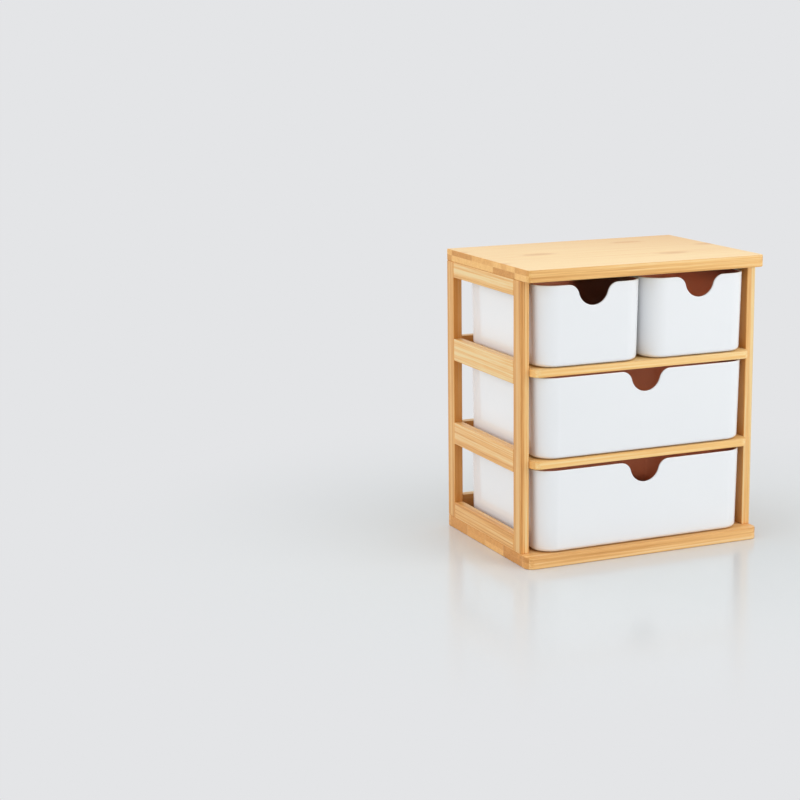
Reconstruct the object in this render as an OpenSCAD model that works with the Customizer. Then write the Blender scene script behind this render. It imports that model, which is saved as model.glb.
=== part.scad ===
// Desktop mini drawers: a bamboo case with three bays and four moulded drawers.
// +Z is up and the drawer fronts face -Y.
// The origin is the middle of the underside of the base panel.

/* [Case] */
// Width over the top and base panels
case_w = 250; // [208:1:300]
// Depth over the top and base panels
case_d = 177; // [147:1:213]
// Thickness of the top panel
top_t = 11.5; // [9:0.5:15]
// Thickness of the base panel
base_t = 11.5; // [9:0.5:15]
// Radius of the top panel's front corners
top_corner_r = 5; // [1:0.5:10]
// Radius of the base panel's front corners
base_corner_r = 8; // [1:0.5:10]

/* [Bays] */
// Clear height of the bay for the two half-width drawers
top_bay_h = 80.7; // [67:0.1:97]
// Clear height of the middle bay
middle_bay_h = 78.3; // [65:0.1:94]
// Clear height of the bottom bay
bottom_bay_h = 81; // [67:0.1:98]
// Thickness of the two shelves
shelf_t = 7.5; // [6:0.5:10]
// How far a shelf's front edge stands in front of the posts
shelf_nose = 10; // [0.5:0.5:12.5]
// Radius of a shelf's front corners
shelf_corner_r = 9; // [0.5:0.5:10]

/* [Side frames] */
// Thickness of a side frame, across the case
frame_t = 9; // [7.5:0.5:11]
// Depth of a post, front to back
post_d = 15; // [12.5:0.5:18]
// How far the panels' front edges stand in front of the posts
front_overhang = 15.5; // [13:0.5:18.5]
// Height of the rails under the top panel
top_rail_h = 15; // [12:0.5:18]
// Height of the two middle rails of a side frame
mid_rail_h = 21.5; // [18:0.5:26]
// Height of the rails on the base panel
bottom_rail_h = 15.5; // [12:0.5:18]
// How far the upper side rails stand above the upper shelf
upper_rail_rise = 5.5; // [4:0.5:8]
// How far the lower side rails stand above the lower shelf
lower_rail_rise = 8; // [4:0.5:9]

/* [Rear rails] */
// Thickness of a rear rail, front to back
rear_rail_t = 9; // [7.5:0.5:11]
// Height of a rear rail
rear_rail_h = 20.5; // [17:0.5:24.5]
// How far the rear rails stand above their shelves
rear_rail_rise = 6.5; // [5:0.5:8]

/* [Drawers] */
// Gap on each side between a drawer and the side frame
side_gap = 4.5; // [1:0.5:6]
// Gap between the two half-width drawers
middle_gap = 2; // [1:0.5:4]
// How far the drawer fronts stay behind the panels' front edges
front_setback = 3.5; // [1:0.5:8]
// Gap between a closed drawer and the rear rail
rear_gap = 2; // [0.5:0.5:12]
// Room above the half-width drawers
top_headroom = 4.5; // [1:0.1:12]
// Room above the middle drawer
middle_headroom = 1.3; // [1:0.1:12]
// Room above the bottom drawer
bottom_headroom = 2.3; // [1:0.1:12]
// Wall thickness of a drawer
drawer_wall = 2; // [1.5:0.1:3]
// Floor thickness of a drawer
drawer_floor = 2; // [1.5:0.1:3]
// Radius of a drawer's upright corners at the rim
drawer_corner_r = 21; // [12:0.5:22]
// Radius where a drawer's walls turn into its floor
drawer_foot_r = 3.5; // [3.5:0.5:9]
// How far a drawer's walls lean inward from rim to floor
drawer_lean = 1.5; // [0:0.1:4]
// Height of the flat pad that a drawer stands on
drawer_pad_h = 1; // [0.5:0.1:2]
// Distance from the edge of a drawer's flat underside in to the pad
drawer_pad_inset = 3; // [0.5:0.5:4]

/* [Finger notch] */
// Radius of the notch's round bottom
notch_r = 15.5; // [10:0.5:16]
// Height of the rim above the centre of that radius
notch_drop = 4.5; // [3:0.5:10]
// Radius of the shoulders where the notch meets the rim
shoulder_r = 11; // [4:0.5:12]

/* [Dowels and screws] */
// Diameter of the dowels in the frames and panels
dowel_d = 5; // [4:0.5:6]
// Length of a dowel inside a rail
rail_dowel_l = 12; // [8:0.5:16]
// Length of a top dowel inside the top panel
panel_dowel_l = 7; // [5:0.5:8]
// Length of a top dowel inside a post
post_dowel_l = 12; // [8:0.5:16]
// Diameter of the dowels at the ends of the shelves
shelf_dowel_d = 4; // [3:0.5:5]
// Length of a shelf dowel inside the shelf
shelf_dowel_l = 12; // [8:0.5:16]
// Distance from a side rail's ends to the shelf dowels
shelf_dowel_inset = 28; // [20:1:35]
// Wood left outside a dowel or screw
edge_wood = 1.5; // [1:0.1:2]
// Slack all round a dowel or screw in its hole
glue_gap = 0.05; // [0.02:0.01:0.1]
// Diameter of a base screw's shank
screw_d = 3.5; // [3:0.1:4]
// Diameter of a base screw's head
screw_head_d = 6.4; // [6:0.1:7]
// Length of a base screw
screw_l = 26; // [22:1:30]
// How deep a screw head is sunk below the underside
screw_sink = 0.4; // [0.2:0.1:1]
// Distance from the rear bottom rail's ends to its screws
rear_screw_inset = 55; // [40:1:70]

/* [Hidden] */
$fn = 64;
hull_fn = 32; // fineness of the corners that a hull joins
arc_steps = 10; // steps in each arc of an outline
cut_over = 1; // how far a cut runs past the face it opens

bamboo = [0.92, 0.76, 0.54];
beech = [0.84, 0.66, 0.43];
white_plastic = [0.92, 0.93, 0.94];
zinc = [0.76, 0.76, 0.74];

// Levels, from the underside up
lower_shelf_z = base_t + bottom_bay_h;
lower_bay_z = lower_shelf_z + shelf_t;
upper_shelf_z = lower_bay_z + middle_bay_h;
upper_bay_z = upper_shelf_z + shelf_t;
top_panel_z = upper_bay_z + top_bay_h;

// Places across the case and front to back
inner_x = case_w / 2 - frame_t;
front_y = -case_d / 2;
rear_y = case_d / 2;
post_front_y = front_y + front_overhang;
rail_front_y = post_front_y + post_d;
rail_rear_y = rear_y - post_d;
rear_rail_y = rear_y - rear_rail_t;
shelf_front_y = post_front_y - shelf_nose;

// Side rails as [lowest level, height], from the base up
bottom_rail = [base_t, bottom_rail_h];
lower_rail = [lower_bay_z + lower_rail_rise - mid_rail_h, mid_rail_h];
upper_rail = [upper_bay_z + upper_rail_rise - mid_rail_h, mid_rail_h];
top_rail = [top_panel_z - top_rail_h, top_rail_h];
side_rails = [bottom_rail, lower_rail, upper_rail, top_rail];

// Lowest levels of the rear rails that carry the shelves
rear_rail_levels = [for (z = [lower_bay_z, upper_bay_z]) z + rear_rail_rise - rear_rail_h];

// Drawers
drawer_front_y = front_y + front_setback;
drawer_d = rear_rail_y - rear_gap - drawer_front_y;
wide_drawer_w = 2 * (inner_x - side_gap);
half_drawer_w = (wide_drawer_w - middle_gap) / 2;
pad_edge = drawer_lean + drawer_foot_r + drawer_pad_inset; // from a drawer's rim in to its pad

// Holes and the pieces in them
post_centre_x = case_w / 2 - frame_t / 2;
upright_inset = edge_wood + dowel_d / 2; // from a post's outer face to its upright dowel
rail_dowel_in = post_d - dowel_d - 2 * edge_wood; // length of a rail dowel inside a post
side_dowel_in = frame_t - 2 * edge_wood; // length of a dowel across a side frame
dowel_y = [post_front_y + upright_inset, rear_y - upright_inset];
screw_inset = edge_wood + screw_head_d / 2; // from a post's outer face to its screw
screw_y = [post_front_y + screw_inset, rear_y - screw_inset];
rear_screw_x = inner_x - rear_screw_inset;
head_l = (screw_head_d - screw_d) / 2;
recess_w = 1; // width of a slot in a screw's cross recess
recess_l = 4.5; // length of such a slot
recess_depth = 1.2; // depth of the cross recess

// ---- shared shapes ----

// A board from y0 back to y1, with its two front corners rounded.
module board(w, y0, y1, t, r) {
    linear_extrude(t)
        union() {
            translate([-w / 2, y0 + r]) square([w, y1 - y0 - r]);
            translate([-w / 2 + r, y0]) square([w - 2 * r, y1 - y0]);
            for (side = [-1, 1])
                translate([side * (w / 2 - r), y0 + r]) circle(r);
        }
}

// A rod of length l that starts at the origin and runs along X.
module rod_x(l, d) {
    rotate([0, 90, 0]) cylinder(h = l, d = d);
}

// A rod of length l that starts at the origin and runs along Y.
module rod_y(l, d) {
    rotate([-90, 0, 0]) cylinder(h = l, d = d);
}

// The screw's outline turned about Z: flat head at the bottom, countersunk, then the shank.
module screw_body(slack) {
    head_r = screw_head_d / 2 + slack;
    shank_r = screw_d / 2 + slack;
    rotate_extrude()
        polygon([
            [0, 0],
            [head_r, 0],
            [shank_r, head_l],
            [shank_r, screw_l + slack],
            [0, screw_l + slack]
        ]);
}

// ---- where dowels and screws go, for one side ----

// The left side's dowels between rails and posts. slack widens and lengthens them into holes.
module left_rail_dowels(slack) {
    for (rail = side_rails)
        translate([-post_centre_x, 0, rail[0] + rail[1] / 2]) {
            translate([0, rail_front_y - rail_dowel_in - slack, 0])
                rod_y(rail_dowel_in + rail_dowel_l + 2 * slack, dowel_d + 2 * slack);
            translate([0, rail_rear_y - rail_dowel_l - slack, 0])
                rod_y(rail_dowel_in + rail_dowel_l + 2 * slack, dowel_d + 2 * slack);
        }
}

// The left side's dowels between posts and top panel.
module left_top_dowels(slack) {
    for (y = dowel_y)
        translate([-post_centre_x, y, top_panel_z - post_dowel_l - slack])
            cylinder(h = post_dowel_l + panel_dowel_l + 2 * slack, d = dowel_d + 2 * slack);
}

// The left side's dowels between shelves and side rails.
module left_shelf_dowels(slack) {
    for (z = [lower_shelf_z, upper_shelf_z])
        for (y = [rail_front_y + shelf_dowel_inset, rail_rear_y - shelf_dowel_inset])
            translate([-inner_x - side_dowel_in - slack, y, z + shelf_t / 2])
                rod_x(side_dowel_in + shelf_dowel_l + 2 * slack, shelf_dowel_d + 2 * slack);
}

// The left side's dowels between rear rails and the rear post.
module left_rear_rail_dowels(slack) {
    for (z = rear_rail_levels)
        translate([-inner_x - side_dowel_in - slack, rear_y - rear_rail_t / 2, z + rear_rail_h / 2])
            rod_x(side_dowel_in + rail_dowel_l + 2 * slack, dowel_d + 2 * slack);
}

// Places of the left side's base screws.
module at_left_screws() {
    for (y = screw_y)
        translate([-post_centre_x, y, screw_sink]) children();
    translate([-rear_screw_x, rear_y - rear_rail_t / 2, screw_sink]) children();
}

// The left side's screw holes, open to the underside.
module left_screw_holes() {
    at_left_screws() {
        screw_body(glue_gap);
        translate([0, 0, -screw_sink - cut_over])
            cylinder(h = screw_sink + cut_over, r = screw_head_d / 2 + glue_gap);
    }
}

// What is drawn for the left side, and its mirror image.
module both_sides() {
    children();
    mirror([1, 0, 0]) children();
}

// ---- panels and shelves ----

module top_panel() {
    color(bamboo)
        difference() {
            translate([0, 0, top_panel_z]) board(case_w, front_y, rear_y, top_t, top_corner_r);
            both_sides() left_top_dowels(glue_gap);
        }
}

module base_panel() {
    color(bamboo)
        difference() {
            board(case_w, front_y, rear_y, base_t, base_corner_r);
            both_sides() left_screw_holes();
        }
}

module shelf(z) {
    color(bamboo)
        difference() {
            translate([0, 0, z])
                board(2 * inner_x, shelf_front_y, rear_rail_y, shelf_t, shelf_corner_r);
            both_sides() left_shelf_dowels(glue_gap);
        }
}

module upper_shelf() {
    shelf(upper_shelf_z);
}

module lower_shelf() {
    shelf(lower_shelf_z);
}

// ---- side frames ----

// A left post whose front face is at y.
module post(y) {
    color(bamboo)
        difference() {
            translate([-case_w / 2, y, base_t]) cube([frame_t, post_d, top_panel_z - base_t]);
            left_rail_dowels(glue_gap);
            left_top_dowels(glue_gap);
            left_rear_rail_dowels(glue_gap);
            left_screw_holes();
        }
}

// A left side rail, given as [lowest level, height].
module side_rail(rail) {
    color(bamboo)
        difference() {
            translate([-case_w / 2, rail_front_y, rail[0]])
                cube([frame_t, rail_rear_y - rail_front_y, rail[1]]);
            left_rail_dowels(glue_gap);
            left_shelf_dowels(glue_gap);
        }
}

module left_front_post() {
    post(post_front_y);
}

module left_rear_post() {
    post(rail_rear_y);
}

module right_front_post() {
    mirror([1, 0, 0]) left_front_post();
}

module right_rear_post() {
    mirror([1, 0, 0]) left_rear_post();
}

module left_top_rail() {
    side_rail(top_rail);
}

module left_upper_rail() {
    side_rail(upper_rail);
}

module left_lower_rail() {
    side_rail(lower_rail);
}

module left_bottom_rail() {
    side_rail(bottom_rail);
}

module right_top_rail() {
    mirror([1, 0, 0]) left_top_rail();
}

module right_upper_rail() {
    mirror([1, 0, 0]) left_upper_rail();
}

module right_lower_rail() {
    mirror([1, 0, 0]) left_lower_rail();
}

module right_bottom_rail() {
    mirror([1, 0, 0]) left_bottom_rail();
}

// ---- rear rails, which stop the drawers ----

module rear_rail(z) {
    color(bamboo)
        difference() {
            translate([-inner_x, rear_rail_y, z]) cube([2 * inner_x, rear_rail_t, rear_rail_h]);
            both_sides() left_rear_rail_dowels(glue_gap);
            both_sides() left_screw_holes();
        }
}

module rear_upper_rail() {
    rear_rail(rear_rail_levels[1]);
}

module rear_lower_rail() {
    rear_rail(rear_rail_levels[0]);
}

module rear_bottom_rail() {
    rear_rail(base_t);
}

// ---- drawers ----

// An upright corner: a tapering rod with a rounded foot, turned about Z.
module tub_corner(h, top_r, bottom_r, foot_r) {
    foot = [
        for (i = [0:arc_steps])
            let (a = -90 + 90 * i / arc_steps)
                [bottom_r - foot_r + foot_r * cos(a), foot_r + foot_r * sin(a)]
    ];
    rotate_extrude($fn = hull_fn)
        polygon(concat([[0, 0]], foot, [[top_r, h], [0, h]]));
}

// The solid inside a tub's outline, centred on Z, with its floor at zero.
module tub_solid(w, d, h, top_r, lean, foot_r) {
    hull()
        for (x = [-1, 1])
            for (y = [-1, 1])
                translate([x * (w / 2 - top_r), y * (d / 2 - top_r), 0])
                    tub_corner(h, top_r, top_r - lean, foot_r);
}

// A flat pad with four rounded corners, centred on Z.
module foot_pad(w, d, t, r) {
    linear_extrude(t)
        union() {
            square([w - 2 * r, d], center = true);
            square([w, d - 2 * r], center = true);
            for (x = [-1, 1])
                for (y = [-1, 1])
                    translate([x * (w / 2 - r), y * (d / 2 - r)]) circle(r);
        }
}

// Half the notch's width at the rim, and the slope where shoulder and round bottom meet.
notch_half_w = sqrt(pow(notch_r + shoulder_r, 2) - pow(notch_drop - shoulder_r, 2));
notch_turn = atan2(shoulder_r - notch_drop, notch_half_w);

// Points on an arc about [x, z] from angle a to angle b.
function arc(x, z, r, a, b) = [
    for (i = [0:arc_steps])
        let (q = a + (b - a) * i / arc_steps) [x + r * cos(q), z + r * sin(q)]
];

// The notch seen from the front, with the rim at zero height.
module notch_outline() {
    polygon(concat(
        arc(-notch_half_w, -shoulder_r, shoulder_r, 90, notch_turn),
        arc(0, -notch_drop, notch_r, 180 + notch_turn, 360 - notch_turn),
        arc(notch_half_w, -shoulder_r, shoulder_r, 180 - notch_turn, 90),
        [[notch_half_w, cut_over], [-notch_half_w, cut_over]]
    ));
}

// A drawer of width w and height h, centred at x, standing at level z.
module drawer(x, z, w, h) {
    tub_h = h - drawer_pad_h;
    color(white_plastic)
        translate([x, drawer_front_y + drawer_d / 2, z])
            difference() {
                union() {
                    translate([0, 0, drawer_pad_h])
                        tub_solid(w, drawer_d, tub_h, drawer_corner_r, drawer_lean, drawer_foot_r);
                    foot_pad(
                        w - 2 * pad_edge,
                        drawer_d - 2 * pad_edge,
                        drawer_pad_h + drawer_floor / 2,
                        drawer_corner_r - pad_edge
                    );
                }
                translate([0, 0, drawer_pad_h + drawer_floor])
                    tub_solid(
                        w - 2 * drawer_wall,
                        drawer_d - 2 * drawer_wall,
                        tub_h,
                        drawer_corner_r - drawer_wall,
                        drawer_lean,
                        drawer_foot_r - drawer_wall
                    );
                translate([0, -drawer_d / 2 + drawer_wall + drawer_lean + cut_over, h])
                    rotate([90, 0, 0])
                        linear_extrude(drawer_wall + drawer_lean + 2 * cut_over) notch_outline();
            }
}

module upper_left_drawer() {
    drawer(-(half_drawer_w + middle_gap) / 2, upper_bay_z, half_drawer_w, top_bay_h - top_headroom);
}

module upper_right_drawer() {
    drawer((half_drawer_w + middle_gap) / 2, upper_bay_z, half_drawer_w, top_bay_h - top_headroom);
}

module middle_drawer() {
    drawer(0, lower_bay_z, wide_drawer_w, middle_bay_h - middle_headroom);
}

module bottom_drawer() {
    drawer(0, base_t, wide_drawer_w, bottom_bay_h - bottom_headroom);
}

// ---- dowels and screws ----

module top_dowels() {
    color(beech) both_sides() left_top_dowels(0);
}

module rail_dowels() {
    color(beech) both_sides() left_rail_dowels(0);
}

module shelf_dowels() {
    color(beech) both_sides() left_shelf_dowels(0);
}

module rear_rail_dowels() {
    color(beech) both_sides() left_rear_rail_dowels(0);
}

module base_screws() {
    color(zinc)
        both_sides() at_left_screws()
            difference() {
                screw_body(0);
                for (turn = [0, 90])
                    rotate([0, 0, turn])
                        translate([-recess_l / 2, -recess_w / 2, -cut_over])
                            cube([recess_l, recess_w, cut_over + recess_depth]);
            }
}

top_panel();
base_panel();
upper_shelf();
lower_shelf();
left_front_post();
left_rear_post();
right_front_post();
right_rear_post();
left_top_rail();
left_upper_rail();
left_lower_rail();
left_bottom_rail();
right_top_rail();
right_upper_rail();
right_lower_rail();
right_bottom_rail();
rear_upper_rail();
rear_lower_rail();
rear_bottom_rail();
upper_left_drawer();
upper_right_drawer();
middle_drawer();
bottom_drawer();
top_dowels();
rail_dowels();
shelf_dowels();
rear_rail_dowels();
base_screws();
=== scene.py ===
# Desktop mini drawers: the looks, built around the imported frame.
# Settings are in millimetres and degrees, unless a note says otherwise, and meshes are in metres.
import math

import bpy
import numpy as np
from mathutils import Matrix, Vector


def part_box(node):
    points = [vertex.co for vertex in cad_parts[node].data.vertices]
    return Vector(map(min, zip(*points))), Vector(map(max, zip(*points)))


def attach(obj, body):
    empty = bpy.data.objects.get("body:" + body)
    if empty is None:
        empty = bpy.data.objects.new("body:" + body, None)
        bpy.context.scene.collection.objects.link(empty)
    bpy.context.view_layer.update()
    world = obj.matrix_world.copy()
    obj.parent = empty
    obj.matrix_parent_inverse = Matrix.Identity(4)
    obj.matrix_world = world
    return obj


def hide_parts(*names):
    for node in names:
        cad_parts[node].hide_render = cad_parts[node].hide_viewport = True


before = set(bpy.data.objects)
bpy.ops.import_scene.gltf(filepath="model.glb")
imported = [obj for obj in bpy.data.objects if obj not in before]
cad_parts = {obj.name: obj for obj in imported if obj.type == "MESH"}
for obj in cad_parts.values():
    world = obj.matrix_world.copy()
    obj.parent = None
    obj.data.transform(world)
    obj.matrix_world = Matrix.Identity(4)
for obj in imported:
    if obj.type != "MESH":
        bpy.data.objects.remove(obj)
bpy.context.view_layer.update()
scene = bpy.context.scene
mm = 0.001


# building node graphs

class Graph:
    # a node tree that is built one node at a time
    def __init__(self, tree):
        self.tree = tree
        self.tree.nodes.clear()

    def add(self, kind, inputs=None, **settings):
        node = self.tree.nodes.new("ShaderNode" + kind)
        for key, value in settings.items():
            setattr(node, key, value)
        for key, value in (inputs or {}).items():
            if isinstance(value, bpy.types.NodeSocket):
                self.tree.links.new(value, node.inputs[key])
            else:
                node.inputs[key].default_value = value
        return node

    def calc(self, operation, *values, clamp=False):
        node = self.add("Math", dict(enumerate(values)), operation=operation, use_clamp=clamp)
        return node.outputs[0]

    def vector(self, operation, *values):
        return self.add("VectorMath", dict(enumerate(values)), operation=operation).outputs[0]

    def split(self, vector):
        return self.add("SeparateXYZ", {0: vector}).outputs

    def attribute(self, name, output):
        return self.add("Attribute", attribute_name=name).outputs[output]

    def objectPlace(self):
        return self.add("TexCoord").outputs["Object"]

    def noise(self, vector, stretch, detail=2.0):
        # stretch is in cycles per metre along each axis
        scaled = self.vector("MULTIPLY", vector, stretch)
        inputs = {"Vector": scaled, "Scale": 1.0, "Detail": detail}
        return self.add("TexNoise", inputs).outputs[0]

    def cells(self, vector, stretch):
        # distance to the middle of the nearest cell
        scaled = self.vector("MULTIPLY", vector, stretch)
        return self.add("TexVoronoi", {"Vector": scaled, "Scale": 1.0}).outputs["Distance"]

    def fade(self, value, low, high, start=0.0, end=1.0):
        # goes smoothly from start to end as value goes from low to high
        inputs = {0: value, 1: low, 2: high, 3: start, 4: end}
        return self.add("MapRange", inputs, interpolation_type="SMOOTHSTEP").outputs[0]

    def mix(self, share, first, second):
        # colours are sockets or linear red, green and blue
        sides = [c if isinstance(c, bpy.types.NodeSocket) else (*c, 1.0) for c in (first, second)]
        return self.add("Mix", {0: share, 6: sides[0], 7: sides[1]}, data_type="RGBA").outputs[2]

    def ramp(self, value, stops):
        node = self.add("ValToRGB", {0: value})
        marks = node.color_ramp.elements
        while len(marks) < len(stops):
            marks.new(0.5)
        for mark, (place, colour) in zip(marks, stops):
            mark.position = place
            mark.color = (*colour, 1.0)
        return node.outputs[0]

    def scaled(self, value, strength):
        return self.calc("MULTIPLY", value, strength)

    def around(self, value, strength):
        # a 0 to 1 value moved to lie around zero
        return self.scaled(self.calc("SUBTRACT", value, 0.5), strength)

    def total(self, *values):
        added = values[0]
        for value in values[1:]:
            added = self.calc("ADD", added, value)
        return added

    def seenDirectly(self):
        # 1 where the camera, a reflection or a clear body looks, and 0 for the light that falls
        path = self.add("LightPath").outputs
        rays = self.total(path["Is Camera Ray"], path["Is Glossy Ray"], path["Is Transmission Ray"])
        return self.calc("MINIMUM", rays, 1.0)

    def finish(self, surface, output="OutputMaterial"):
        self.tree.links.new(surface.outputs[0], self.add(output).inputs[0])


def newMaterial(name):
    material = bpy.data.materials.new(name)
    material.use_nodes = True
    return material, Graph(material.node_tree)


# bamboo: long fibres in strips that are glued side by side, under a satin lacquer

bamboo = dict(
    stops=[(0.0, (0.430, 0.180, 0.045)), (0.35, (0.650, 0.345, 0.118)),
           (0.65, (0.800, 0.500, 0.212)), (1.0, (0.890, 0.675, 0.410))],
    knot=(0.640, 0.285, 0.075), pore=(0.300, 0.150, 0.055), edge=(0.640, 0.290, 0.065),
    darkLine=(0.360, 0.160, 0.050), lightLine=(0.930, 0.740, 0.470),
    broadStreak=(2.5, 210.0, 210.0),    # cycles per metre along, across and through the strips
    fineStreak=(7.0, 640.0, 640.0),
    fibre=(45.0, 2600.0, 2600.0),
    endPores=(60.0, 1250.0, 1250.0),
    streakMix=(0.8, 1.15, 0.5),         # shares of the broad streaks, the fine ones and the fibre
    stripShift=(3.1, 0.7, 0.7),         # how far apart two strips read the streaks, in metres
    knotSpacing=0.19, knotHalf=0.026, knotScatter=4.0,   # metres along a strip
    knotWidth=0.22, knotBend=0.9,       # shares of a strip
    knotCore=0.1, archPlace=0.5, archHalf=0.16,   # distances from a knot's middle, where its edge is 1
    knotRarity=(0.50, 0.62),            # strips with a chance number above this show their knots
    poreEdge=(0.10, 0.42),              # distances from a pore's middle, in cells
    knotDepth=0.60, archDepth=0.14, poreDepth=0.10, arrisDepth=0.50,
    endCalm=0.65,                       # share of the streaks that an end loses
    # painted shade: the deeper orange of faces that look into the case, and how strongly it is mixed in
    paintedCaseShade=(0.640, 0.225, 0.024), paintedCaseShadeDepth=0.75,   # faces that look into the case
    palest=0.97,
    roughness=0.42, fineRough=0.16, endRough=0.10,
    ior=1.48, specular=0.32, coat=0.10, coatRoughness=0.22, coatIor=1.45,
    relief=dict(fine=0.6, fibre=0.4, line=-0.8, pore=-0.6),
    bumpStrength=0.35, bump=0.00012,    # bump is in metres
)

# tones run from 0, dark, to 1, pale: the middle one, how far strips, neighbours, halves side by side and
# streaks differ from it, what an edge or an end adds, how far the blocks of an end differ, the glue line's
# width and depth, how much the knots show, and what the ramp's colours are multiplied by
woods = dict(
    topBamboo=dict(
        # the top panel's face is paler than its front and back edges: partly the bamboo's own tone, partly
        # painted top light and sheen
        middle=1.02, strip=0.12, step=0.0, half=0.0, streak=1.00, edge=-0.42, end=-0.64, block=0.50,
        line=0.005, lineDepth=0.30, lineColour="lightLine", knots=0.85, tint=(1.12, 1.07, 0.91),
    ),
    baseBamboo=dict(
        middle=0.60, strip=0.12, step=0.16, half=0.0, streak=0.90, edge=0.0, end=-0.30, block=0.30,
        line=0.010, lineDepth=0.45, lineColour="lightLine", knots=0.55, tint=(1.12, 1.03, 0.90),
    ),
    shelfBamboo=dict(
        middle=0.76, strip=0.12, step=0.0, half=0.0, streak=0.70, edge=0.0, end=-0.20, block=0.20,
        line=0.010, lineDepth=0.25, lineColour="darkLine", knots=0.25, tint=(1.14, 1.09, 0.90),
    ),
    postBamboo=dict(
        middle=0.57, strip=0.14, step=0.20, half=0.20, streak=1.25, edge=0.12, end=-0.15, block=0.20,
        line=0.035, lineDepth=0.30, lineColour="darkLine", knots=0.15, tint=(1.18, 1.07, 0.87),
    ),
    railBamboo=dict(
        middle=0.80, strip=0.16, step=0.10, half=0.0, streak=1.25, edge=0.0, end=-0.15, block=0.20,
        line=0.030, lineDepth=0.22, lineColour="darkLine", knots=0.15, tint=(1.17, 1.12, 0.97),
    ),
)
# painted shade: the lower and bottom side rails get a darker, deeper orange copy of the rail bamboo
woods["lowRailBamboo"] = woods["railBamboo"] | dict(middle=0.70, tint=(1.15, 1.03, 0.84))
woods["plainPostBamboo"] = woods["postBamboo"] | dict(middle=0.68, step=0.12, half=0.0, edge=0.0)


def tinted(stops, tint):
    # the same ramp with each colour times the tint, and none paler than the wood can be
    return [(place, np.minimum(np.array(colour) * tint, bamboo["palest"])) for place, colour in stops]


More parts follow.
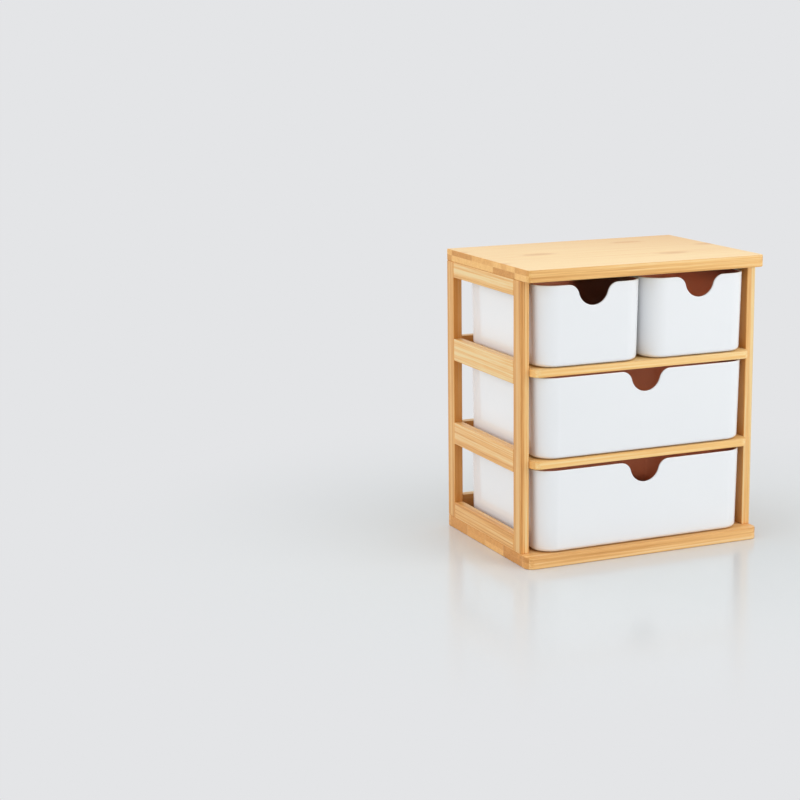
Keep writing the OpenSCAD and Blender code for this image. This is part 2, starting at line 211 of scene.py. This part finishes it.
def bambooMaterial(name):
    material, g = newMaterial(name)
    b, wood = bamboo, woods[name]
    grain = g.attribute("grain", "Vector")
    strip = g.attribute("strip", "Vector")
    edgeCut, endCut = g.attribute("edgeCut", "Fac"), g.attribute("endCut", "Fac")
    number = g.vector("FLOOR", strip)
    chance = g.add("TexWhiteNoise", {"Vector": number}, noise_dimensions="3D")
    own = g.split(chance.outputs["Color"])
    # neighbouring strips are darker and lighter in turn: a turn is 0 or a half, and a quarter centres it
    count = g.split(number)
    turn = g.calc("FRACT", g.scaled(g.total(count[0], count[1]), 0.5))
    halfTurn = g.calc("FRACT", g.scaled(count[0], 0.5))
    # each strip reads its own stretch of the streaks
    shifted = g.vector("MULTIPLY_ADD", chance.outputs["Color"], b["stripShift"], grain)
    broad = g.noise(shifted, b["broadStreak"], 3.0)
    fine = g.noise(shifted, b["fineStreak"])
    fibre = g.noise(shifted, b["fibre"])
    endTone = g.total(g.around(own[1], wood["block"]), wood["end"])
    # streaks run along the strips, so they show less where these are cut across
    parts = zip((broad, fine, fibre), b["streakMix"])
    mixed = g.total(*[g.around(part, share) for part, share in parts])
    onEnd = g.calc("SUBTRACT", 1.0, g.scaled(endCut, b["endCalm"]))
    streaks = g.calc("MULTIPLY", g.scaled(mixed, wood["streak"]), onEnd)
    tone = g.total(
        g.around(own[0], wood["strip"]), g.scaled(g.calc("SUBTRACT", turn, 0.25), 2 * wood["step"]),
        g.scaled(g.calc("SUBTRACT", halfTurn, 0.25), 2 * wood["half"]), streaks,
        g.scaled(edgeCut, wood["edge"]), g.calc("MULTIPLY", endTone, endCut), wood["middle"],
    )
    colour = g.ramp(tone, tinted(b["stops"], wood["tint"]))
    # painted shade: faces that look into the case get a deeper orange, standing in for their shade and the
    # light that other bamboo warms
    colour = g.mix(g.scaled(g.attribute("paintedCaseShade", "Fac"), b["paintedCaseShadeDepth"]), colour, b["paintedCaseShade"])
    # now and then the cane's node leaves a soft dark patch, long along the grain, with a thin arch in it
    inStrip = g.split(g.vector("FRACTION", strip))
    along = g.total(g.split(grain)[0], g.scaled(own[1], b["knotScatter"]))
    along = g.calc("FRACT", g.calc("DIVIDE", along, b["knotSpacing"]))
    along = g.around(along, b["knotSpacing"] / b["knotHalf"])
    aside = g.total(g.around(inStrip[0], 1 / b["knotWidth"]), g.around(broad, b["knotBend"]))
    fromKnot = g.calc("SQRT", g.total(g.calc("MULTIPLY", along, along), g.calc("MULTIPLY", aside, aside)))
    patch = g.fade(fromKnot, b["knotCore"], 1.0, b["knotDepth"], 0.0)
    fromArch = g.calc("ABSOLUTE", g.calc("SUBTRACT", fromKnot, b["archPlace"]))
    arch = g.fade(fromArch, 0.0, b["archHalf"], b["archDepth"], 0.0)
    shows = g.scaled(g.fade(own[2], *b["knotRarity"]), wood["knots"])
    colour = g.mix(g.calc("MULTIPLY", g.total(patch, arch), shows), colour, b["knot"])
    # glue lines between strips
    near = [g.calc("MINIMUM", s, g.calc("SUBTRACT", 1.0, s)) for s in (inStrip[0], inStrip[1])]
    line = g.fade(g.calc("MINIMUM", *near), 0.0, wood["line"], 1.0, 0.0)
    colour = g.mix(g.scaled(line, wood["lineDepth"]), colour, b[wood["lineColour"]])
    # pores where the strips are cut across
    fromPore = g.cells(grain, b["endPores"])
    pore = g.calc("MULTIPLY", g.fade(fromPore, *b["poreEdge"], 1.0, 0.0), endCut)
    colour = g.mix(g.scaled(pore, b["poreDepth"]), colour, b["pore"])
    # the arrises are warmer, where the lacquer gathers
    colour = g.mix(g.scaled(g.attribute("arris", "Fac"), b["arrisDepth"]), colour, b["edge"])
    roughness = g.total(g.around(fine, b["fineRough"]), g.scaled(endCut, b["endRough"]), b["roughness"])
    raised = dict(fine=fine, fibre=fibre, line=line, pore=pore)
    height = g.total(*[g.scaled(raised[part], depth) for part, depth in b["relief"].items()])
    bump = g.add("Bump", {"Height": height, "Strength": b["bumpStrength"], "Distance": b["bump"]})
    g.finish(g.add("BsdfPrincipled", {
        "Base Color": colour, "Roughness": roughness, "Normal": bump.outputs[0],
        "IOR": b["ior"], "Specular IOR Level": b["specular"],
        "Coat Weight": b["coat"], "Coat Roughness": b["coatRoughness"], "Coat IOR": b["coatIor"],
    }))
    return material


bamboos = {name: bambooMaterial(name) for name in woods}
print("bamboo made:", len(bamboos), "kinds")


# moulded plastic

plastic = dict(
    white=(0.870, 0.882, 0.898), shade=(0.850, 0.864, 0.884), rub=(0.780, 0.786, 0.792),
    # painted shade: the brown inside the drawers stands in for the shade in them and the light that the
    # bamboo warms
    paintedShadeBrown=(0.285, 0.118, 0.078), paintedShadeBrownDeep=(0.238, 0.095, 0.061),
    whiteRoughness=0.07, brownRoughness=0.50, ior=1.57,
    cloud=(14.0, 14.0, 14.0), peel=(900.0, 900.0, 900.0), scuff=(60.0, 60.0, 900.0),   # cycles per metre
    peelStrength=0.12, peelDepth=0.00003,           # depth in metres
    rubFrom=0.45, rubTo=0.75, rubDepth=0.5,         # how much scuffing it takes to show, and how strongly
    scuffRough=0.06, cloudRough=0.04, rubRough=0.2,
    glowDepth=0.012, glowReach=(1.25, 0.80, 0.66),  # metres into the wall, and red, green and blue's shares
)


def plasticMaterial(name, main, shade, roughness, glow):
    # glow is how much of the light on the wall comes through it
    material, g = newMaterial(name)
    place = g.objectPlace()
    cloud = g.noise(place, plastic["cloud"])
    peel = g.noise(place, plastic["peel"])
    scuff = g.noise(place, plastic["scuff"], 3.0)
    # the foot is rubbed where the drawer slides
    rub = g.fade(scuff, plastic["rubFrom"], plastic["rubTo"])
    worn = g.calc("MULTIPLY", g.attribute("foot", "Fac"), rub)
    colour = g.mix(g.scaled(worn, plastic["rubDepth"]), g.mix(cloud, shade, main), plastic["rub"])
    grit = g.total(g.around(scuff, plastic["scuffRough"]), g.around(cloud, plastic["cloudRough"]),
                   g.scaled(worn, plastic["rubRough"]), roughness)
    bumpInputs = {"Height": peel, "Strength": plastic["peelStrength"], "Distance": plastic["peelDepth"]}
    bump = g.add("Bump", bumpInputs)
    g.finish(g.add("BsdfPrincipled", {
        "Base Color": colour, "Roughness": grit, "Normal": bump.outputs[0], "IOR": plastic["ior"],
        "Subsurface Weight": glow, "Subsurface Radius": plastic["glowReach"],
        "Subsurface Scale": plastic["glowDepth"],
    }))
    return material


whiteShell = plasticMaterial(
    "whiteShell", plastic["white"], plastic["shade"], plastic["whiteRoughness"], glow=0.0,
)
# the drawers' insides: a painted shade brown, standing in for their shade and bamboo-warmed light
paintedShadeInside = plasticMaterial(
    "paintedShadeInside", plastic["paintedShadeBrown"], plastic["paintedShadeBrownDeep"], plastic["brownRoughness"], glow=1.0,
)


# raw dowel wood and zinc plate

dowelLook = dict(
    stops=[(0.25, (0.56, 0.36, 0.18)), (0.55, (0.68, 0.47, 0.26)), (0.80, (0.76, 0.56, 0.34))],
    pore=(0.40, 0.23, 0.10), streak=(300.0, 300.0, 300.0), cells=(1900.0, 1900.0, 1900.0),
    poreEdge=(0.05, 0.30), poreDepth=0.35,
    roughness=0.62, streakRough=0.2, bumpStrength=0.4, bump=0.0001,
)


def dowelMaterial():
    material, g = newMaterial("dowelWood")
    place = g.objectPlace()
    streak = g.noise(place, dowelLook["streak"], 4.0)
    fromPore = g.cells(place, dowelLook["cells"])
    pore = g.fade(fromPore, *dowelLook["poreEdge"], dowelLook["poreDepth"], 0.0)
    colour = g.mix(pore, g.ramp(streak, dowelLook["stops"]), dowelLook["pore"])
    bumpInputs = {"Height": streak, "Strength": dowelLook["bumpStrength"], "Distance": dowelLook["bump"]}
    bump = g.add("Bump", bumpInputs)
    grit = g.total(g.around(streak, dowelLook["streakRough"]), dowelLook["roughness"])
    g.finish(g.add("BsdfPrincipled", {"Base Color": colour, "Roughness": grit, "Normal": bump.outputs[0]}))
    return material


zincLook = dict(
    stops=[(0.25, (0.44, 0.45, 0.46)), (0.60, (0.62, 0.62, 0.61)), (0.85, (0.70, 0.68, 0.62))],
    cloud=(420.0, 420.0, 420.0), scratch=(3000.0, 260.0, 260.0),
    roughness=0.30, cloudRough=0.25, scratchRough=0.15, bumpStrength=0.3, bump=0.00004,
)


def zincMaterial():
    material, g = newMaterial("zincPlate")
    place = g.objectPlace()
    cloud = g.noise(place, zincLook["cloud"], 4.0)
    scratch = g.noise(place, zincLook["scratch"])
    bumpInputs = {"Height": scratch, "Strength": zincLook["bumpStrength"], "Distance": zincLook["bump"]}
    bump = g.add("Bump", bumpInputs)
    grit = g.total(g.around(cloud, zincLook["cloudRough"]), g.around(scratch, zincLook["scratchRough"]),
                   zincLook["roughness"])
    g.finish(g.add("BsdfPrincipled", {
        "Base Color": g.ramp(cloud, zincLook["stops"]), "Metallic": 1.0, "Roughness": grit,
        "Normal": bump.outputs[0],
    }))
    return material


dowelWood = dowelMaterial()
zincPlate = zincMaterial()
print("plastic, dowel wood and zinc made")


# surfaces

def surfaceMesh(name, *parts):
    # each part is rows of closed rings, joined by quads from row to row, with one flat face on its
    # first ring and one on its last
    faces = []
    start = 0
    for rings in parts:
        rows, columns = rings.shape[:2]
        index = start + np.arange(rows * columns).reshape(rows, columns)
        here, above = index[:-1], index[1:]
        quads = np.stack([here, np.roll(here, -1, 1), np.roll(above, -1, 1), above], -1)
        faces += quads.reshape(-1, 4).tolist() + [index[0][::-1].tolist(), index[-1].tolist()]
        start += rows * columns
    mesh = bpy.data.meshes.new(name)
    mesh.from_pydata(np.concatenate([rings.reshape(-1, 3) for rings in parts]), [], faces)
    mesh.polygons.foreach_set("use_smooth", np.ones(len(mesh.polygons), bool))
    return mesh


def setAttribute(mesh, name, kind, domain, values):
    layer = mesh.attributes.new(name, kind, domain)
    key = "vector" if kind == "FLOAT_VECTOR" else "value"
    layer.data.foreach_set(key, np.ravel(values).astype(np.float32))


def addPiece(name, mesh, body, node):
    piece = bpy.data.objects.new(name, mesh)
    scene.collection.objects.link(piece)
    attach(piece, body)
    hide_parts(node)
    # large flat faces keep their own normal, and the rounding between them turns it
    weigh = piece.modifiers.new("flatFaces", "WEIGHTED_NORMAL")
    weigh.weight = 100
    weigh.keep_sharp = True


def roundedCorners(low, high, radii, steps):
    # centres, outward normals, radii and turns round a rectangle with four rounded corners, front right
    # one first, then counter-clockwise
    (x0, y0), (x1, y1) = low, high
    fr, rr, rl, fl = radii
    centres = np.array([[x1 - fr, y0 + fr], [x1 - rr, y1 - rr], [x0 + rl, y1 - rl], [x0 + fl, y0 + fl]])
    turn = np.radians(np.array([-90, 0, 90, 180])[:, None] + np.linspace(0, 90, steps + 1)).ravel()
    normals = np.stack([np.cos(turn), np.sin(turn)], -1)
    return np.repeat(centres, steps + 1, 0), normals, np.repeat(np.array(radii, float), steps + 1), turn


def boxOf(node):
    # a node's lowest and highest corners in millimetres
    return [np.array(corner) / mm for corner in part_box(node)]


# holes for the dowels and screws, taken from the places where these lie in the frame

holes = dict(slack=0.05, shank=3.5, below=1.0, sides=24)


def looseBoxes(node):
    # lowest and highest corners of each separate solid of a node: the triangles' corners are numbered by
    # place, and each number falls to the least one that it shares a triangle with, until none changes
    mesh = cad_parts[node].data
    place = np.empty(len(mesh.vertices) * 3)
    mesh.vertices.foreach_get("co", place)
    place = place.reshape(-1, 3) / mm
    triangles = np.empty(len(mesh.loops), int)
    mesh.loops.foreach_get("vertex_index", triangles)
    same = np.unique(np.round(place, 3), axis=0, return_inverse=True)[1].ravel()
    triangles = same[triangles].reshape(-1, 3)
    label = np.arange(same.max() + 1)
    while True:
        lower = label.copy()
        np.minimum.at(lower, triangles.ravel(), np.repeat(label[triangles].min(1), 3))
        if (lower == label).all():
            break
        label = lower
    solid = label[same]
    return [(place[solid == s].min(0), place[solid == s].max(0)) for s in np.unique(solid)]


def rodRings(base, axis, distances, radii):
    # a circle square to an axis, with its own radius at each distance along that axis from the base point
    turn = np.linspace(0, 2 * math.pi, holes["sides"], endpoint=False)[:, None]
    directions = np.eye(3)
    circle = np.cos(turn) * directions[(axis + 1) % 3] + np.sin(turn) * directions[(axis + 2) % 3]
    distances, radii = np.array(distances, float), np.array(radii, float)
    return base + distances[:, None, None] * directions[axis] + radii[:, None, None] * circle


def dowelHole(low, high):
    size = high - low
    axis = int(size.argmax())
    base = (low + high) / 2
    base[axis] = low[axis]
    radius = size.min() / 2 + holes["slack"]
    return rodRings(base, axis, [-holes["slack"], size[axis] + holes["slack"]], [radius, radius])


def screwHole(low, high):
    # counterbore from below the underside, countersink and shank
    head = (high[0] - low[0]) / 2
    shank = holes["shank"] / 2
    base = np.array([(low[0] + high[0]) / 2, (low[1] + high[1]) / 2, 0.0])
    distances = [-holes["below"], low[2], low[2] + head - shank, high[2] + holes["slack"]]
    return rodRings(base, 2, distances, np.array([head, head, shank, shank]) + holes["slack"])


def makeHoleCutter():
    dowelNodes = [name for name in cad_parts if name.endswith("_dowels")]
    rods = [dowelHole(*box) for name in dowelNodes for box in looseBoxes(name)]
    rods += [screwHole(*box) for box in looseBoxes("base_screws")]
    cutter = bpy.data.objects.new("holes", surfaceMesh("holes", *[rod * mm for rod in rods]))
    scene.collection.objects.link(cutter)
    print("holes:", len(rods))
    return cutter


def drilled(mesh, cutter):
    # the board less the rods, as a new mesh
    board = bpy.data.objects.new("board", mesh)
    scene.collection.objects.link(board)
    cut = board.modifiers.new("holes", "BOOLEAN")
    cut.object = cutter
    cut.operation = "DIFFERENCE"
    cut.solver = "EXACT"
    made = bpy.data.meshes.new_from_object(board.evaluated_get(bpy.context.evaluated_depsgraph_get()))
    bpy.data.objects.remove(board)
    return made


# boards

boards = dict(
    arrisSteps=4, cornerSteps=8, hardAngle=50, cutFacing=0.7,
    rearCorner=1.25, sharpCorner=2.5,   # in arris radii: a rear corner, and the most that is still an arris
    plyMargin=0.02,                     # in plies
    firstSeed=11, seedStep=7,
    # arris and front corner radii, the grain's axis, the strips' widths across and their plies upwards
    topPanel=dict(arris=0.9, front=5.0, grain="x", width=46.0, plies=(7.7, 3.8), shift=0.4,
                  slot="bamboo_panel", wood="topBamboo"),
    basePanel=dict(arris=0.9, front=8.0, grain="x", width=40.0, plies=(7.2, 4.3), shift=1.7,
                   slot="bamboo_panel", wood="baseBamboo"),
    shelf=dict(arris=0.7, front=9.0, grain="x", width=22.0, plies=(7.5,), shift=0.2,
               slot="bamboo_panel", wood="shelfBamboo"),
    post=dict(arris=0.7, front=0.9, grain="z", width=4.5, plies=(5.0, 5.0, 5.0), shift=0.0,
              slot="bamboo_frame", wood="postBamboo"),
    sideRail=dict(arris=0.6, front=0.8, grain="y", width=4.5, plies=(5.3,) * 5, shift=0.0,
                  slot="bamboo_frame", wood="railBamboo"),
    rearRail=dict(arris=0.6, front=0.8, grain="x", width=4.5, plies=(5.2,) * 4, shift=0.0,
                  slot="bamboo_frame", wood="railBamboo"),
)
boards["rightPost"] = boards["post"] | dict(wood="plainPostBamboo")
boards["lowRail"] = boards["sideRail"] | dict(wood="lowRailBamboo")
grainAxes = dict(x=(0, 1, 2), y=(1, 0, 2), z=(2, 0, 1))   # along, across and through the strips


def boardRings(low, high, arris, radii):
    # a quarter round at the bottom, the straight side and a quarter round at the top, carried round the
    # board's outline: each ring is the outline moved inwards by the profile's inset, at the profile's height
    centres, normals, radius, turn = roundedCorners(low[:2], high[:2], radii, boards["cornerSteps"])
    bend = np.linspace(0, math.pi / 2, boards["arrisSteps"] + 1)
    inset = arris * (1 - np.sin(bend))
    rise = arris * (1 - np.cos(bend))
    inset = np.concatenate([inset, inset[::-1]])
    height = np.concatenate([low[2] + rise, high[2] - rise[::-1]])
    plan = centres[None] + (radius[None] - inset[:, None])[..., None] * normals[None]
    rings = np.concatenate([plan, np.broadcast_to(height[:, None, None], (*plan.shape[:2], 1))], -1)
    # how near a point is to the middle of an arris, from 0 to 1
    rowEdge = np.sin(2 * np.concatenate([bend, bend[::-1]]))
    columnEdge = np.where(radius < boards["sharpCorner"] * arris, np.abs(np.sin(2 * turn)), 0.0)
    return rings, np.maximum(rowEdge[:, None], columnEdge[None])


def grainAttributes(mesh, kind, low, seed):
    # each point's place along, across and through the strips, in metres and counted in strips
    axes = list(grainAxes[kind["grain"]])
    place = np.empty(len(mesh.vertices) * 3)
    mesh.vertices.foreach_get("co", place)
    place = (place.reshape(-1, 3) / mm - low)[:, axes]
    start = np.random.default_rng(seed).uniform(0.0, 0.5, 3)
    setAttribute(mesh, "grain", "FLOAT_VECTOR", "POINT", place * mm + start)
    levels = np.concatenate([[0.0], np.cumsum(kind["plies"])])
    across = place[:, 1] / kind["width"] + kind["shift"]
    through = np.interp(place[:, 2], levels, np.arange(len(levels)))
    # just inside the first and last strip, so that an outer face has no glue line
    margin = boards["plyMargin"]
    through = np.clip(through, margin, len(levels) - 1 - margin)
    setAttribute(mesh, "strip", "FLOAT_VECTOR", "POINT",
                 np.stack([across, through, np.full(len(place), seed + 0.5)], -1))
    normal = np.empty(len(mesh.polygons) * 3)
    mesh.polygons.foreach_get("normal", normal)
    normal = normal.reshape(-1, 3)
    facing = np.abs(normal[:, axes]) > boards["cutFacing"]
    setAttribute(mesh, "endCut", "FLOAT", "FACE", facing[:, 0])
    setAttribute(mesh, "edgeCut", "FLOAT", "FACE", facing[:, 1])
    # the painted shade's mask: upright faces that look towards the middle of the case, which is at the
    # origin
    centre = np.empty(len(mesh.polygons) * 3)
    mesh.polygons.foreach_get("center", centre)
    inward = -(normal[:, :2] * centre.reshape(-1, 3)[:, :2]).sum(1)
    upright = np.abs(normal[:, 2]) < boards["cutFacing"]
    setAttribute(mesh, "paintedCaseShade", "FLOAT", "FACE", (inward > 0) & upright)


def makeBoard(node, kind, seed, cutter):
    low, high = boxOf(node)
    small = boards["rearCorner"] * kind["arris"]
    rings, edge = boardRings(low, high, kind["arris"], (kind["front"], small, small, kind["front"]))
    mesh = surfaceMesh(node, rings * mm)
    setAttribute(mesh, "arris", "FLOAT", "POINT", edge)
    mesh = drilled(mesh, cutter)
    mesh.name = node + "Mesh"
    mesh.set_sharp_from_angle(angle=math.radians(boards["hardAngle"]))
    grainAttributes(mesh, kind, low, seed)
    mesh.materials.clear()
    mesh.materials.append(bamboos[kind["wood"]])
    addPiece(node + "_board", mesh, "case", node)


def makeBoards():
    cutter = makeHoleCutter()
    # the lower two levels take the rail bamboo's painted shade copy
    levels = dict(top="sideRail", upper="sideRail", lower="lowRail", bottom="lowRail")
    kinds = dict(top_panel="topPanel", base_panel="basePanel", upper_shelf="shelf", lower_shelf="shelf")
    for side, post in (("left", "post"), ("right", "rightPost")):
        kinds |= {f"{side}_{end}_post": post for end in ("front", "rear")}
    kinds |= {f"{side}_{level}_rail": rail for side in ("left", "right") for level, rail in levels.items()}
    kinds |= {f"rear_{level}_rail": "rearRail" for level in ("upper", "lower", "bottom")}
    for number, (node, kind) in enumerate(kinds.items()):
        makeBoard(node, boards[kind], boards["firstSeed"] + boards["seedStep"] * number, cutter)
    bpy.data.objects.remove(cutter)
    print("boards:", len(kinds))


makeBoards()


# drawers: one closed wall each, white outside and over the rim, and inside a brown that is painted shade

drawer = dict(
    wall=2.0, floor=2.0, corner=21.0, foot=3.5, lean=1.5, lip=0.75,
    pad=1.0, padInset=3.0, padSoft=0.3,   # the pad it stands on: height, place under the foot, rounding
    notchRadius=15.5, notchDrop=4.5, shoulder=11.0, rubHeight=8.0,
    padRows=3, footSteps=8, lipSteps=5, wallRows=8,
    cornerSteps=20, shoulderSteps=14, notchSteps=28, sideSteps=6,
)


def notchLine():
    # x and depth below the rim along the notch: shoulder arc, round bottom and shoulder arc, each arc
    # ending where it touches the next
    reach = drawer["notchRadius"] + drawer["shoulder"]
    drop = drawer["notchDrop"] - drawer["shoulder"]
    half = math.sqrt(reach ** 2 - drop ** 2)
    touch = math.atan2(-drop, half)
    turn = np.linspace(math.pi / 2, touch, drawer["shoulderSteps"] + 1)
    shoulderX = -half + drawer["shoulder"] * np.cos(turn)
    shoulderDepth = drawer["shoulder"] * (1 - np.sin(turn))
    turn = np.linspace(math.pi + touch, 2 * math.pi - touch, drawer["notchSteps"] + 1)[1:-1]
    bottomX = drawer["notchRadius"] * np.cos(turn)
    bottomDepth = drawer["notchDrop"] - drawer["notchRadius"] * np.sin(turn)
    x = np.concatenate([shoulderX, bottomX, -shoulderX[::-1]])
    return x, np.concatenate([shoulderDepth, bottomDepth, shoulderDepth[::-1]])


def tubOutline(size):
    # centres, outward normals and rim depths round the tub: the front wall with its notch, then corner
    # and wall in turn, counter-clockwise
    half = size / 2
    r = drawer["corner"]
    centres, normals, _, _ = roundedCorners(-half, half, (r,) * 4, drawer["cornerSteps"])
    centres = centres.reshape(4, -1, 2)
    normals = normals.reshape(4, -1, 2)
    notchX, notchDepth = notchLine()
    flat = np.linspace(-(half[0] - r), notchX[0], drawer["sideSteps"], endpoint=False)
    frontX = np.concatenate([flat, notchX, -flat[::-1]])
    share = np.linspace(0, 1, drawer["sideSteps"] + 1)[1:-1, None]
    centreParts = [np.stack([frontX, np.full(len(frontX), -(half[1] - r))], -1), centres[0, 1:]]
    normalParts = [np.tile([0.0, -1.0], (len(frontX), 1)), normals[0, 1:]]
    for i in (1, 2, 3):
        wall = centres[i - 1, -1] + (centres[i, 0] - centres[i - 1, -1]) * share
        last = len(centres[i]) - (i == 3)
        centreParts += [wall, centres[i, :last]]
        normalParts += [np.tile(normals[i, 0], (len(wall), 1)), normals[i, :last]]
    centre = np.concatenate(centreParts)
    rimDepth = np.zeros(len(centre))
    rimDepth[len(flat):len(flat) + len(notchX)] = notchDepth
    return centre, np.concatenate(normalParts), rimDepth


def tubRings(size):
    # pad, outer foot, outer wall, lip, inner wall, inner foot and inner floor edge: a ring is each centre
    # plus a distance along its outward normal, at a height. The lip is two quarter rounds carried along
    # the rim, in the plane square to it, so it follows the notch.
    height, wall, lip, pad = size[2], drawer["wall"], drawer["lip"], drawer["pad"]
    centre, normal, rimDepth = tubOutline(size[:2])
    outward = np.concatenate([normal, np.zeros((len(normal), 1))], -1)

    def ring(distance, z):
        plan = centre + np.broadcast_to(distance, len(centre))[:, None] * normal
        return np.concatenate([plan, np.broadcast_to(z, len(centre))[:, None]], -1)

    wallHeight = height - pad - drawer["foot"]
    rim = ring(drawer["corner"] - drawer["lean"] * rimDepth / wallHeight, height - rimDepth)
    along = np.roll(rim, -1, 0) - np.roll(rim, 1, 0)
    along /= np.linalg.norm(along, axis=1)[:, None]
    upward = np.cross(outward, along)
    bend = np.linspace(0, math.pi / 2, drawer["lipSteps"] + 1)
    across = np.concatenate([lip * (np.cos(bend) - 1), lip * (1 - np.cos(bend[::-1])) - wall])
    up = np.concatenate([lip * (np.sin(bend) - 1), lip * (np.sin(bend[::-1]) - 1)])
    lipRings = rim + across[:, None, None] * outward + up[:, None, None] * upward

    def foot(edge, radius, start, turns):
        return [ring(edge - radius * (1 - math.cos(t)), start + radius * (1 + math.sin(t))) for t in turns]

    turns = np.linspace(-math.pi / 2, 0, drawer["footSteps"] + 1)
    edge = drawer["corner"] - drawer["lean"]
    padEdge = edge - drawer["foot"] - drawer["padInset"]
    padRings = [ring(padEdge - drawer["padSoft"], 0.0), ring(padEdge, drawer["padSoft"]), ring(padEdge, pad)]
    outerFoot = foot(edge, drawer["foot"], pad, turns)
    innerFoot = foot(edge - wall, drawer["foot"] - wall, pad + drawer["floor"], turns[::-1])
    share = np.linspace(0, 1, drawer["wallRows"] + 1)[1:-1, None, None]
    outerWall = outerFoot[-1] * (1 - share) + lipRings[0] * share
    innerWall = lipRings[-1] * (1 - share) + innerFoot[0] * share
    return np.concatenate([padRings, outerFoot, outerWall, lipRings, innerWall, innerFoot])


def makeDrawer(node):
    low, high = boxOf(node)
    rings = tubRings(high - low)
    middle = np.array([(low[0] + high[0]) / 2, (low[1] + high[1]) / 2, low[2]])
    mesh = surfaceMesh(node + "Mesh", (rings + middle) * mm)
    rows, columns = rings.shape[:2]
    whiteRows = drawer["padRows"] + drawer["footSteps"] + drawer["wallRows"] + 2 * drawer["lipSteps"] + 1
    # faces past the white rows get the painted shade brown
    paintedShadeBrown = np.repeat(np.arange(rows - 1) >= whiteRows, columns)
    mesh.materials.append(whiteShell)
    mesh.materials.append(paintedShadeInside)
    # the last two faces are the floor's underside and its inside
    mesh.polygons.foreach_set("material_index", np.concatenate([paintedShadeBrown, [False, True]]).astype(np.int32))
    # only the outside of the foot is rubbed
    rubbed = np.clip(1 - rings[..., 2] / drawer["rubHeight"], 0, 1)
    rubbed[whiteRows:] = 0.0
    setAttribute(mesh, "foot", "FLOAT", "POINT", rubbed)
    addPiece(node + "_shell", mesh, node, node)


drawerNodes = [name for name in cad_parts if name.endswith("_drawer")]
for node in drawerNodes:
    makeDrawer(node)
print("drawers:", len(drawerNodes))


# dowels and screws keep their own meshes

for name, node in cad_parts.items():
    if name.endswith("_dowels") or name == "base_screws":
        node.data.materials.clear()
        node.data.materials.append(zincPlate if name == "base_screws" else dowelWood)


# floor, light and camera: lengths here are in metres

stage = dict(
    background=(0.776, 0.783, 0.799), floor=(0.680, 0.712, 0.722), floorHalf=15.0,
    fadeFrom=0.11, fadeTo=0.56, roughness=0.16, specular=0.36, worldStrength=0.58,
)


def makeFloor():
    half = stage["floorHalf"]
    mesh = bpy.data.meshes.new("floor")
    corners = [(-half, -half, 0), (half, -half, 0), (half, half, 0), (-half, half, 0)]
    mesh.from_pydata(corners, [], [(0, 1, 2, 3)])
    floor = bpy.data.objects.new("floor", mesh)
    scene.collection.objects.link(floor)
    material, g = newMaterial("paleFloor")
    away = g.add("VectorMath", {0: g.objectPlace()}, operation="LENGTH").outputs["Value"]
    far = g.calc("MULTIPLY", g.fade(away, stage["fadeFrom"], stage["fadeTo"]), g.seenDirectly())
    near = g.add("BsdfPrincipled", {
        "Base Color": (*stage["floor"], 1.0), "Roughness": stage["roughness"],
        "Specular IOR Level": stage["specular"],
    })
    plain = g.add("Emission", {"Color": (*stage["background"], 1.0), "Strength": 1.0})
    g.finish(g.add("MixShader", {0: far, 1: near.outputs[0], 2: plain.outputs[0]}))
    mesh.materials.append(material)


def makeWorld():
    world = bpy.data.worlds.new("studio")
    scene.world = world
    world.use_nodes = True
    g = Graph(world.node_tree)
    shown = g.add("Background", {"Color": (*stage["background"], 1.0), "Strength": 1.0})
    light = g.add("Background", {"Color": (1.0, 1.0, 1.0, 1.0), "Strength": stage["worldStrength"]})
    both = g.add("MixShader", {0: g.seenDirectly(), 1: light.outputs[0], 2: shown.outputs[0]})
    g.finish(both, "OutputWorld")


lamps = dict(
    aim=(0.0, 0.0, 0.14),
    overhead=dict(place=(0.1, -0.3, 1.9), size=(2.2, 2.2), power=8.5, colour=(1.0, 1.0, 1.0)),
    frontRight=dict(place=(1.1, -1.4, 0.8), size=(1.6, 1.4), power=15.5, colour=(0.98, 0.99, 1.0)),
    left=dict(place=(-2.3, 0.1, 0.9), size=(2.4, 1.8), power=23.5, colour=(1.0, 0.99, 0.98)),
    rear=dict(place=(-0.6, 1.6, 2.2), size=(1.8, 1.4), power=10.0, colour=(1.0, 1.0, 1.0)),
)


def makeLamp(name):
    settings = lamps[name]
    light = bpy.data.lights.new(name, "AREA")
    light.shape = "RECTANGLE"
    light.size, light.size_y = settings["size"]
    light.energy = settings["power"]
    light.color = settings["colour"]
    lamp = bpy.data.objects.new(name, light)
    lamp.location = settings["place"]
    aim = Vector(lamps["aim"]) - lamp.location
    lamp.rotation_euler = aim.to_track_quat("-Z", "Y").to_euler()
    scene.collection.objects.link(lamp)


camera = dict(
    place=(-0.8906, -1.6193, 0.5150), yaw=25.42, pitch=11.70, roll=-0.15,
    lens=87.1, sensor=36.0, shiftX=-0.1125,
)


def makeCamera():
    data = bpy.data.cameras.new("camera")
    data.sensor_width = camera["sensor"]
    data.lens = camera["lens"]
    data.shift_x = camera["shiftX"]
    viewer = bpy.data.objects.new("camera", data)
    scene.collection.objects.link(viewer)
    turn = Matrix.Rotation(math.radians(-camera["yaw"]), 4, "Z")
    tilt = Matrix.Rotation(math.radians(90 - camera["pitch"]), 4, "X")
    roll = Matrix.Rotation(math.radians(camera["roll"]), 4, "Z")
    viewer.matrix_world = Matrix.Translation(camera["place"]) @ turn @ tilt @ roll
    scene.camera = viewer


makeFloor()
makeWorld()
for name in ("overhead", "frontRight", "left", "rear"):
    makeLamp(name)
makeCamera()
scene.view_settings.view_transform = "Standard"
print("stage, lamps and camera made")
